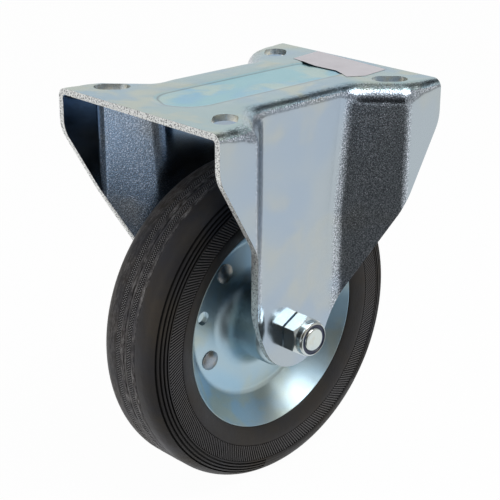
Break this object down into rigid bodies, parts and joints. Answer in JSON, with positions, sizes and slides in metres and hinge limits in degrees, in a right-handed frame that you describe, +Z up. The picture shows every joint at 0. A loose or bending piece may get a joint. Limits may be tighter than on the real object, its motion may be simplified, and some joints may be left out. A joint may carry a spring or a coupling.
{
  "type": "fixed castor",
  "caption": "Fixed plate castor with a folded sheet-steel fork and a rubber-tyred disc wheel on a roller bearing.",
  "frame": {"origin": "middle of the top plate's upper face, at the centre of the four bolt slots", "axes": "+Z up out of the top plate, X along the rolling direction, +Y along the axle towards the bolt's head"},
  "size_m": [0.16, 0.1094, 0.1965],
  "materials": {
    "zinc_fork": "bright zinc plated with a bluish and faintly yellow passivation",
    "zinc_rim": "bright zinc plated, bluish",
    "zinc_rivet": "dull zinc plated",
    "zinc_fastener": "bright zinc plated",
    "rubber": "matt black rubber",
    "bearing_steel": "ground steel",
    "nylon": "moulded nylon",
    "insert": "dark nylon"
  },
  "bodies": {
    "fork_body": {"fork": "zinc_fork", "axle_bolt": "zinc_fastener", "lock_nut": "zinc_fastener", "nut_insert": "insert", "axle_sleeve": "bearing_steel"},
    "wheel": {"tyre": "rubber", "rim_disc_near": "zinc_rim", "rim_disc_far": "zinc_rim", "rivet_1": "zinc_rivet", "rivet_2": "zinc_rivet", "rivet_3": "zinc_rivet", "rivet_4": "zinc_rivet", "hub_tube": "bearing_steel", "thrust_washer_near": "bearing_steel", "thrust_washer_far": "bearing_steel"},
    "cage": {"roller_cage": "nylon"},
    "roller_1": {"roller_1": "bearing_steel"},
    "roller_2": {"roller_2": "bearing_steel"},
    "roller_3": {"roller_3": "bearing_steel"},
    "roller_4": {"roller_4": "bearing_steel"},
    "roller_5": {"roller_5": "bearing_steel"},
    "roller_6": {"roller_6": "bearing_steel"},
    "roller_7": {"roller_7": "bearing_steel"},
    "roller_8": {"roller_8": "bearing_steel"}
  },
  "joints": [
    {"name": "wheel_spin", "type": "hinge", "parent": "fork_body", "child": "wheel", "pos_m": [0, 0, -0.1165], "axis": [0, 1, 0], "continuous": true},
    {"name": "cage_spin", "type": "hinge", "parent": "fork_body", "child": "cage", "pos_m": [0, 0, -0.1165], "axis": [0, 1, 0], "continuous": true},
    {"name": "roller_1_spin", "type": "hinge", "parent": "cage", "child": "roller_1", "pos_m": [0.01277, 0, -0.1165], "axis": [0, 1, 0], "continuous": true},
    {"name": "roller_2_spin", "type": "hinge", "parent": "cage", "child": "roller_2", "pos_m": [0.00903, 0, -0.10747], "axis": [0, 1, 0], "continuous": true},
    {"name": "roller_3_spin", "type": "hinge", "parent": "cage", "child": "roller_3", "pos_m": [0, 0, -0.10372], "axis": [0, 1, 0], "continuous": true},
    {"name": "roller_4_spin", "type": "hinge", "parent": "cage", "child": "roller_4", "pos_m": [-0.00903, 0, -0.10747], "axis": [0, 1, 0], "continuous": true},
    {"name": "roller_5_spin", "type": "hinge", "parent": "cage", "child": "roller_5", "pos_m": [-0.01277, 0, -0.1165], "axis": [0, 1, 0], "continuous": true},
    {"name": "roller_6_spin", "type": "hinge", "parent": "cage", "child": "roller_6", "pos_m": [-0.00903, 0, -0.12553], "axis": [0, 1, 0], "continuous": true},
    {"name": "roller_7_spin", "type": "hinge", "parent": "cage", "child": "roller_7", "pos_m": [0, 0, -0.12928], "axis": [0, 1, 0], "continuous": true},
    {"name": "roller_8_spin", "type": "hinge", "parent": "cage", "child": "roller_8", "pos_m": [0.00903, 0, -0.12553], "axis": [0, 1, 0], "continuous": true}
  ],
  "couplings": [
    {"joint": "cage_spin", "follows": "wheel_spin", "ratio": 0.60861},
    {"joint": "roller_1_spin", "follows": "wheel_spin", "ratio": 2.1932},
    {"joint": "roller_2_spin", "follows": "wheel_spin", "ratio": 2.1932},
    {"joint": "roller_3_spin", "follows": "wheel_spin", "ratio": 2.1932},
    {"joint": "roller_4_spin", "follows": "wheel_spin", "ratio": 2.1932},
    {"joint": "roller_5_spin", "follows": "wheel_spin", "ratio": 2.1932},
    {"joint": "roller_6_spin", "follows": "wheel_spin", "ratio": 2.1932},
    {"joint": "roller_7_spin", "follows": "wheel_spin", "ratio": 2.1932},
    {"joint": "roller_8_spin", "follows": "wheel_spin", "ratio": 2.1932}
  ]
}
